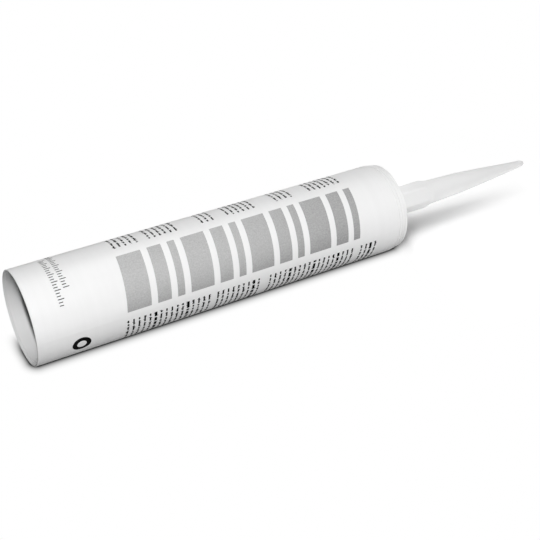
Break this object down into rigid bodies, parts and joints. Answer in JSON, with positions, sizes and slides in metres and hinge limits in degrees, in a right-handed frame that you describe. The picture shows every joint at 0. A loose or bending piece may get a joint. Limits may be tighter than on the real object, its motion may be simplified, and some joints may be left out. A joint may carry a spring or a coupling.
{
  "type": "caulk cartridge",
  "caption": "Moulded caulk cartridge with a closed stepped head, a plunger inside the open tail, and a screw-on nozzle with a hexagonal collar and a long tapering tip.",
  "frame": {"origin": "centre of the tail rim's flat ring, which the cartridge stands on", "axes": "+Z along the barrel from the open tail to the nozzle's tip; +X through a corner of the nozzle's hexagonal collar"},
  "size_m": [0.05, 0.05, 0.3186],
  "materials": {
    "barrel_plastic": "white satin polyethylene with printed grey bars",
    "plunger_plastic": "natural white moulded polyethylene",
    "sealant_paste": "smooth wet paste",
    "nozzle_plastic": "milky translucent polyethylene"
  },
  "bodies": {
    "barrel": {"barrel": "barrel_plastic", "sealant": "sealant_paste"},
    "plunger": {"plunger": "plunger_plastic"},
    "nozzle": {"nozzle": "nozzle_plastic"}
  },
  "joints": [
    {"name": "plunger_slide", "type": "slide", "parent": "barrel", "child": "plunger", "axis": [0, 0, 1], "range_m": [0, 0.1785], "deforming": ["sealant"]},
    {"name": "nozzle_lift", "type": "slide", "parent": "barrel", "child": "nozzle", "axis": [0, 0, 1], "range_m": [0, 0.025]}
  ]
}
